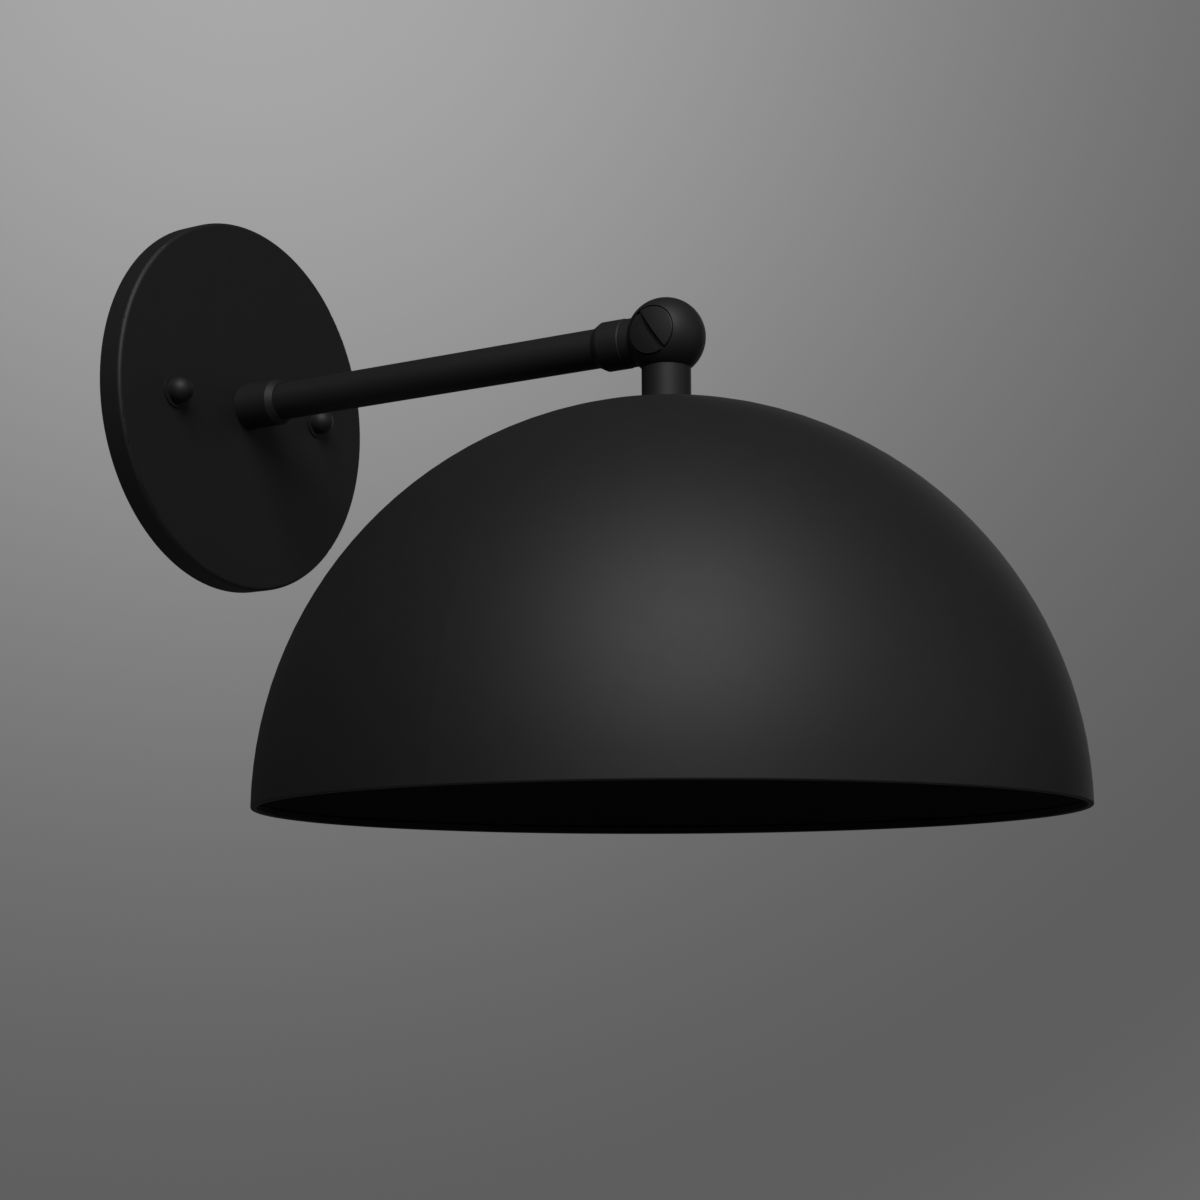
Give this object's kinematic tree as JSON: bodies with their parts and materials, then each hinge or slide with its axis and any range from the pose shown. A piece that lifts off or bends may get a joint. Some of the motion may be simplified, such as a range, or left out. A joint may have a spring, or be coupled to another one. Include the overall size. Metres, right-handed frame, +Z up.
{
  "type": "wall sconce",
  "caption": "Wall sconce: a round canopy, a straight arm, a ball swivel with a slotted screw, and an open dome shade over a screw-base lamp socket.",
  "frame": {"origin": "centre of the canopy's back, on the wall", "axes": "+Y into the wall, -Y out along the arm, +Z up"},
  "size_m": [0.2508, 0.3028, 0.2133],
  "materials": {
    "powder_black": "satin black powder coat",
    "zinc_steel": "zinc plated",
    "spring_steel": "oiled",
    "green_steel": "green coated",
    "fibre": "pressed fibre",
    "socket_brass": "drawn and lacquered",
    "lamp_brass": "rolled thread",
    "liner_card": "insulating card",
    "phenolic": "moulded",
    "lead_black": "extruded",
    "lead_white": "extruded"
  },
  "bodies": {
    "wall_arm": {"canopy": "powder_black", "box_bar": "zinc_steel", "stud_bar": "zinc_steel", "bar_eyelet": "zinc_steel", "canopy_studs": "zinc_steel", "stud_lock_nuts": "zinc_steel", "cap_nuts": "powder_black", "ground_screw": "green_steel", "canopy_nipple": "zinc_steel", "canopy_lock_washer": "zinc_steel", "canopy_lock_nut": "zinc_steel", "canopy_collar": "powder_black", "arm_tube": "powder_black", "swivel_collar": "powder_black", "swivel_arm_half": "powder_black", "friction_washer": "fibre", "stop_pin": "spring_steel", "arm_lead_black": "lead_black", "arm_lead_white": "lead_white"},
    "shade_head": {"swivel_shade_half": "powder_black", "swivel_screw": "powder_black", "spring_washer": "spring_steel", "shade_nipple": "zinc_steel", "shade": "powder_black", "shade_washer": "zinc_steel", "shade_lock_nut": "zinc_steel", "socket_bushing": "socket_brass", "socket_cap": "socket_brass", "socket_set_screw": "spring_steel", "socket_shell": "socket_brass", "socket_liner": "liner_card", "socket_body": "phenolic", "screw_shell": "lamp_brass", "centre_contact": "lamp_brass", "terminal_screws": "lamp_brass", "shade_lead_black": "lead_black", "shade_lead_white": "lead_white"}
  },
  "joints": [
    {"name": "shade_tilt", "type": "hinge", "parent": "wall_arm", "child": "shade_head", "pos_m": [0, -0.1774, 0], "axis": [1, 0, 0], "range_deg": [-90, 10]}
  ]
}
